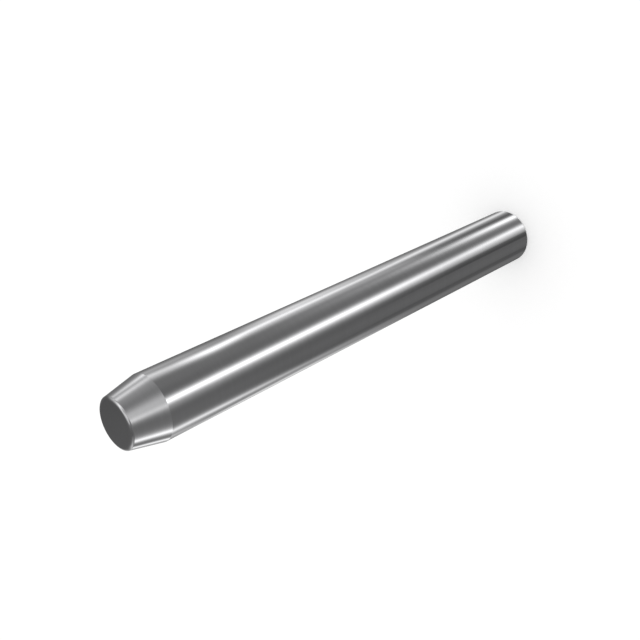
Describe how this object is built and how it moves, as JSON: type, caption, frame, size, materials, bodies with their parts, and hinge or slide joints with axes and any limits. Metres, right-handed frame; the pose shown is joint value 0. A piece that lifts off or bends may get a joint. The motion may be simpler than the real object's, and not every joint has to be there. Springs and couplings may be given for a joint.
{
  "type": "taper lock stud",
  "caption": "Ground steel stud: a parallel shank with a short tapered nose at one end and a small bevel round each flat end face.",
  "frame": {"origin": "centre of the plain end face, which the stud stands on", "axes": "+Z along the stud's axis, from the plain end towards the tapered nose; X and Y are free, because the stud is round"},
  "size_m": [0.02, 0.02, 0.18],
  "materials": {
    "steel": "polished"
  },
  "bodies": {
    "root": {"stud": "steel"}
  },
  "joints": []
}
